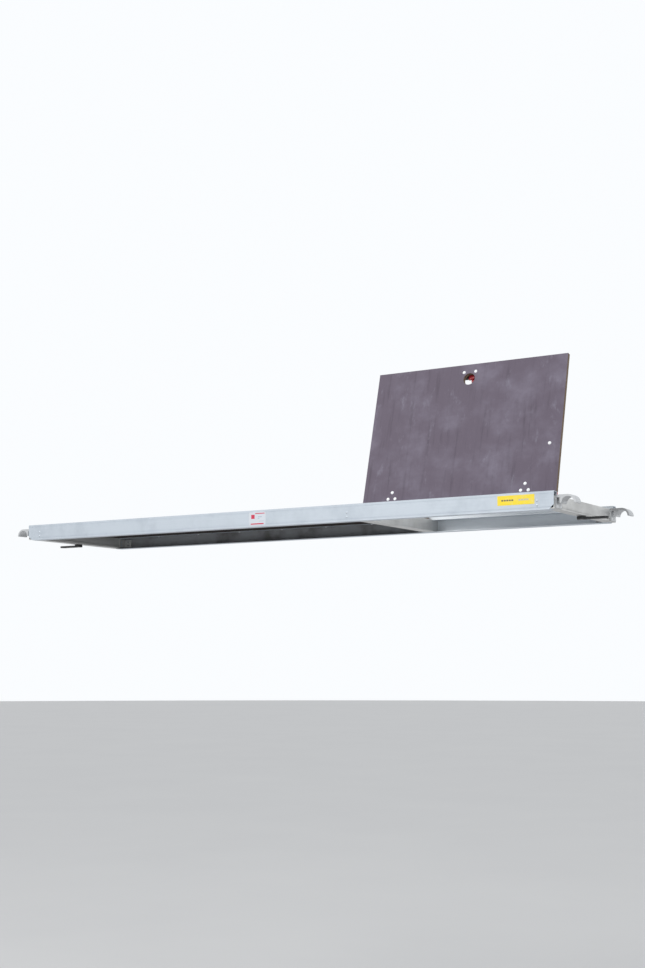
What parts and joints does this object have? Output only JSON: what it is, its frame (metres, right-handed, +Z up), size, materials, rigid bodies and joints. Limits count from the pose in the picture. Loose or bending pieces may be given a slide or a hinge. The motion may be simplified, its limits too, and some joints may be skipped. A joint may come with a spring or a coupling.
{
  "type": "trapdoor scaffold platform",
  "caption": "Long aluminium-framed plywood platform that hooks over scaffold rungs, with a side-hinged trapdoor standing open",
  "frame": {"origin": "below the platform's centre, level with the undersides of the wind lock levers, its lowest pieces", "axes": "+X along the platform towards the hatch end, +Y across it away from the hatch's hinges, +Z up"},
  "size_m": [2.576, 0.6024, 0.5854],
  "materials": {
    "rail_aluminium": "mill finish, lightly dulled",
    "hook_aluminium": "mill finish, rubbed where it seats",
    "rivet_aluminium": "bright",
    "deck_plywood": "film-faced, worn and dusty",
    "zinc_steel": "zinc plated",
    "washer_nylon": "plain",
    "windlock_black": "moulded, matt",
    "latch_black": "moulded, matt",
    "latch_red": "moulded, satin",
    "stay_red": "powder coat",
    "label_yellow": "printed film",
    "label_white": "printed film"
  },
  "bodies": {
    "platform": {"rail_front": "rail_aluminium", "rail_rear": "rail_aluminium", "end_beam_left": "rail_aluminium", "end_beam_right": "rail_aluminium", "cross_beam": "rail_aluminium", "cleat_left_front": "rail_aluminium", "cleat_left_rear": "rail_aluminium", "cleat_right_front": "rail_aluminium", "cleat_right_rear": "rail_aluminium", "cleat_cross_front": "rail_aluminium", "cleat_cross_rear": "rail_aluminium", "cleat_rivets": "rivet_aluminium", "deck_panel": "deck_plywood", "deck_rivets": "rivet_aluminium", "hook_left_front": "hook_aluminium", "hook_left_rear": "hook_aluminium", "hook_right_front": "hook_aluminium", "hook_right_rear": "hook_aluminium", "hook_rivets": "rivet_aluminium", "hinge_leaf_fixed_left": "zinc_steel", "hinge_leaf_fixed_right": "zinc_steel", "hinge_pin_left": "zinc_steel", "hinge_pin_right": "zinc_steel", "hinge_lip_rivets": "rivet_aluminium", "windlock_bolt_left": "zinc_steel", "windlock_bolt_right": "zinc_steel", "windlock_washer_left": "washer_nylon", "windlock_washer_right": "washer_nylon", "windlock_nut_left": "zinc_steel", "windlock_nut_right": "zinc_steel", "stay_stud": "zinc_steel", "rail_label": "label_yellow", "dot_label": "label_white"},
    "hatch": {"hatch_panel": "deck_plywood", "hinge_leaf_moving_left": "zinc_steel", "hinge_leaf_moving_right": "zinc_steel", "hinge_leaf_rivets": "rivet_aluminium", "latch_housing": "latch_black", "latch_spring": "zinc_steel", "latch_rivets": "rivet_aluminium", "stay_bracket": "zinc_steel", "stay_bracket_rivet": "rivet_aluminium", "stay_pin": "zinc_steel"},
    "latch": {"latch_slider": "latch_red"},
    "stay": {"hatch_stay": "stay_red"},
    "windlock_l": {"windlock_left": "windlock_black"},
    "windlock_r": {"windlock_right": "windlock_black"}
  },
  "joints": [
    {"name": "hatch_hinge", "type": "hinge", "parent": "platform", "child": "hatch", "pos_m": [0.816, -0.264, 0.0695], "axis": [1, 0, 0], "range_deg": [-75, 0]},
    {"name": "latch_slide", "type": "slide", "parent": "hatch", "child": "latch", "axis": [0, -0.2588, -0.9659], "range_m": [0, 0.0135], "stiffness_N_per_m": 300, "springref_m": -0.01},
    {"name": "stay_pivot", "type": "hinge", "parent": "hatch", "child": "stay", "pos_m": [1.1485, -0.19313, 0.24514], "axis": [1, 0, 0], "range_deg": [0, 142.3]},
    {"name": "windlock_left_pivot", "type": "hinge", "parent": "platform", "child": "windlock_l", "pos_m": [-1.186, 0, 0.0095], "axis": [0, 0, 1], "range_deg": [0, 90]},
    {"name": "windlock_right_pivot", "type": "hinge", "parent": "platform", "child": "windlock_r", "pos_m": [1.186, 0, 0.0095], "axis": [0, 0, 1], "range_deg": [0, 90]}
  ],
  "couplings": [
    {"joint": "stay_pivot", "follows": "hatch_hinge", "ratio": -1.8973}
  ]
}
